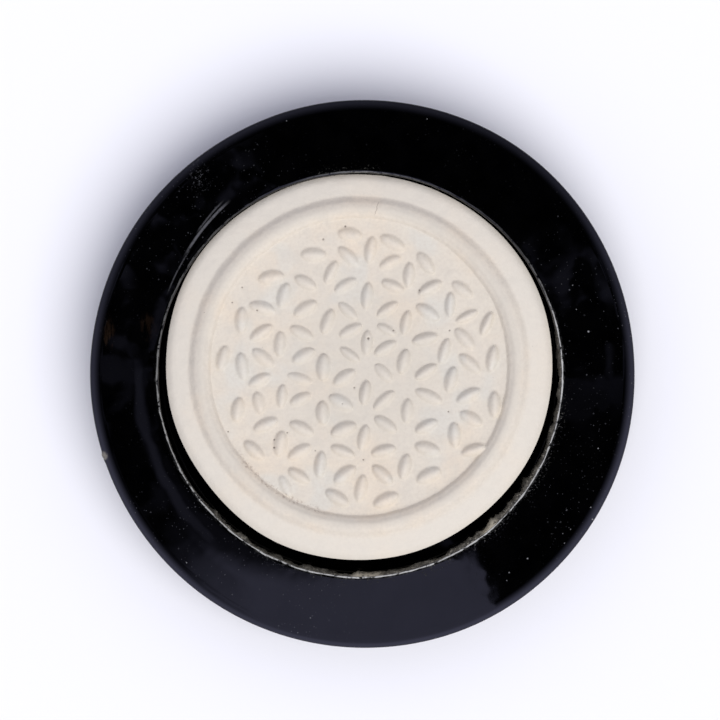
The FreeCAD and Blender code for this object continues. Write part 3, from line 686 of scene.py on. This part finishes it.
# ---------------------------------------------------------------- floor
me = bpy.data.meshes.new("floor")
h = 3.0
me.from_pydata([(-h, -h, 0), (h, -h, 0), (h, h, 0), (-h, h, 0)], [], [(0, 1, 2, 3)])
floor = bpy.data.objects.new("floor", me)
bpy.context.scene.collection.objects.link(floor)
fm = bpy.data.materials.new("floor_white")
fm.use_nodes = True
fb = fm.node_tree.nodes["Principled BSDF"]
fb.inputs["Base Color"].default_value = (0.80, 0.80, 0.80, 1)
fb.inputs["Roughness"].default_value = 0.9
fb.inputs["Specular IOR Level"].default_value = 0.0
floor.data.materials.append(fm)


# ---------------------------------------------------------------- light
def direction(az_deg, el_deg):
    a, e = math.radians(az_deg), math.radians(el_deg)
    return Vector((math.cos(a) * math.cos(e), math.sin(a) * math.cos(e), math.sin(e)))


sun = bpy.data.lights.new("key", "SUN")
sun.energy = 2.52
sun.angle = math.radians(58)
sun.color = (1.0, 0.99, 1.0)
sun_ob = bpy.data.objects.new("key", sun)
sun_ob.rotation_euler = direction(-60, 61).to_track_quat("Z", "Y").to_euler()
sun_ob.visible_glossy = False
bpy.context.scene.collection.objects.link(sun_ob)

world = bpy.data.worlds.new("studio")
bpy.context.scene.world = world
world.use_nodes = True
wn = world.node_tree.nodes
wl = world.node_tree.links
wn.clear()
wo = wn.new("ShaderNodeOutputWorld")
W = {}


def wmath(op, a, b=None, clamp=False):
    n = wn.new("ShaderNodeMath")
    n.operation = op
    n.use_clamp = clamp
    for i, v in enumerate((a, b)):
        if v is None:
            continue
        if isinstance(v, (int, float)):
            n.inputs[i].default_value = v
        else:
            wl.new(v, n.inputs[i])
    return n.outputs[0]


def wstep(v, lo, hi, to0=0.0, to1=1.0):
    n = wn.new("ShaderNodeMapRange")
    n.interpolation_type = "SMOOTHSTEP"
    wl.new(v, n.inputs[0])
    n.inputs[1].default_value, n.inputs[2].default_value = lo, hi
    n.inputs[3].default_value, n.inputs[4].default_value = to0, to1
    return n.outputs[0]


tc = wn.new("ShaderNodeTexCoord")
sp = wn.new("ShaderNodeSeparateXYZ")
wl.new(tc.outputs["Generated"], sp.inputs[0])
az = wmath("MULTIPLY", wmath("ARCTAN2", sp.outputs[1], sp.outputs[0]), 180 / math.pi)
el = wmath("MULTIPLY", wmath("ARCSINE", sp.outputs[2]), 180 / math.pi)
# what the glaze mirrors: a dark room overhead, a pale panel in front and a glow towards the horizon
def wramp(v, table):
    n = wn.new("ShaderNodeValToRGB")
    fill_ramp(n.color_ramp, table)
    wl.new(wmath("ADD", wmath("DIVIDE", v, 360.0), 0.5), n.inputs[0])
    return n.outputs[0]


def wnoise(vec, size, detail, offset):
    n = wn.new("ShaderNodeTexNoise")
    n.inputs["Scale"].default_value = 1.0 / size
    n.inputs["Detail"].default_value = detail
    mp = wn.new("ShaderNodeMapping")
    mp.inputs["Location"].default_value = (offset, -offset, offset * 0.5)
    wl.new(vec, mp.inputs[0])
    wl.new(mp.outputs[0], n.inputs["Vector"])
    return n.outputs["Fac"]


# degrees from overhead, and a flat map of the sky in the same units
zen = wmath("SUBTRACT", 90.0, el)
comb = wn.new("ShaderNodeCombineXYZ")
spread = wmath("ADD", wmath("MULTIPLY", zen, 0.68), 31.0)
rad = wmath("MULTIPLY", az, math.pi / 180)
wl.new(wmath("MULTIPLY", wmath("COSINE", rad), spread), comb.inputs[0])
wl.new(wmath("MULTIPLY", wmath("SINE", rad), spread), comb.inputs[1])
flat = comb.outputs[0]

d = wmath("WRAP", wmath("SUBTRACT", az, -98.0), 180.0)
d.node.inputs[2].default_value = -180.0
jag = wmath("MULTIPLY", wmath("SUBTRACT", wnoise(flat, 1.3, 3, 3.0), 0.5), 1.8)
# right edge: steps out once near the top, and is ragged
right = wmath("ADD", wmath("SUBTRACT", d, wmath("MULTIPLY", wstep(zen, 4.5, 8.5), 5.5)), jag)
right = wstep(right, 33.0, 32.7)
# left edge: fades, and the middle of the sky reaches round furthest
far = wmath("MULTIPLY", wmath("MULTIPLY", wstep(zen, 5.0, 9.0), wstep(zen, 16.5, 11.5)), 24.0)
soft = wmath("MULTIPLY", wmath("SUBTRACT", wnoise(flat, 7.0, 2, 9.0), 0.5), 22.0)
left = wmath("ADD", wmath("ADD", d, far), soft)
left = wstep(left, -46.0, -12.0)
inner = wmath("ADD", wmath("MULTIPLY", wstep(wmath("ADD", d, wmath("MULTIPLY", zen, 3.4)), 4.0, 30.0), 0.88), 0.12)
panel = wmath("MULTIPLY", wmath("MULTIPLY", left, right), inner)
panel = wmath("MULTIPLY", panel, wmath("MULTIPLY", wstep(el, 88.0, 84.5), wstep(el, -2.0, 8.0)))
cloud = wmath("ADD", wmath("MULTIPLY", wnoise(flat, 5.0, 2, 1.0), 0.20), 0.90)
panel = wmath("MULTIPLY", wmath("MULTIPLY", panel, cloud), 0.56)
glow = wmath("MULTIPLY", wstep(el, 60.0, -6.0), wramp(az, [
    (-180, 0.50), (-160, 0.72), (-140, 0.76), (-120, 0.76), (-100, 0.84), (-60, 0.88), (-40, 0.79), (-18, 0.79),
    (0, 0.62), (20, 0.42), (42, 0.26), (60, 0.20), (80, 0.24), (100, 0.28), (130, 0.30), (155, 0.36), (180, 0.50)]))
# dim furniture of the room, left and right
room = wstep(wnoise(flat, 6.5, 2, 21.0), 0.50, 0.66)
room_az = wramp(az, [(-180, 0.5), (-150, 0.35), (-120, 0.0), (-20, 0.0), (-8, 0.25), (4, 0.8), (22, 0.9), (38, 0.0),
                     (112, 0.0), (126, 0.8), (150, 1.1), (165, 0.8), (180, 0.5)])
room = wmath("MULTIPLY", wmath("MULTIPLY", room, room_az), wmath("MULTIPLY", wstep(zen, 2.0, 5.0), 0.15))
streak = wmath("ABSOLUTE", wmath("SUBTRACT", wmath("ADD", zen, wmath("MULTIPLY", wnoise(flat, 5.0, 1, 5.0), 2.4)), 12.6))
streak = wmath("MULTIPLY", wstep(streak, 2.6, 0.5), wramp(az, [(-180, 0.85), (-168, 0.8), (-150, 1.0), (-134, 0.8), (-124, 0.0),
                                                              (170, 0.0), (180, 0.85)]))
streak = wmath("MULTIPLY", streak, 0.20)
gl = wmath("MAXIMUM", wmath("MAXIMUM", wmath("MAXIMUM", panel, glow), room), streak)
glossy = wn.new("ShaderNodeBackground")
glossy.inputs[0].default_value = (0.92, 0.93, 1.42, 1)
wl.new(gl, glossy.inputs[1])
ambient = wn.new("ShaderNodeBackground")
ambient.inputs[0].default_value = (0.95, 0.965, 1.20, 1)
ambient.inputs[1].default_value = 0.575
lp = wn.new("ShaderNodeLightPath")
ms = wn.new("ShaderNodeMixShader")
wl.new(lp.outputs["Is Glossy Ray"], ms.inputs[0])
wl.new(ambient.outputs[0], ms.inputs[1])
wl.new(glossy.outputs[0], ms.inputs[2])
wl.new(ms.outputs[0], wo.inputs[0])

bpy.context.scene.view_settings.view_transform = "Standard"
bpy.context.scene.view_settings.look = "None"
bpy.context.scene.view_settings.exposure = 0.0
bpy.context.scene.view_settings.gamma = 1.0

# ---------------------------------------------------------------- camera, straight down
PX = 0.16445                      # millimetres for each pixel of a 720-pixel frame at the dish's widest line
DIST = 1100.0
cam = bpy.data.cameras.new("camera")
cam.sensor_width = 36.0
cam.lens = 36.0 * DIST / (720 * PX)
cam.clip_end = 10.0
cam_ob = bpy.data.objects.new("camera", cam)
cam_ob.location = ((360 - 363.15) * PX * MM, (374.0 - 360) * PX * MM, (11.5 + DIST) * MM)
cam_ob.rotation_euler = (0, 0, 0)
bpy.context.scene.collection.objects.link(cam_ob)
bpy.context.scene.camera = cam_ob
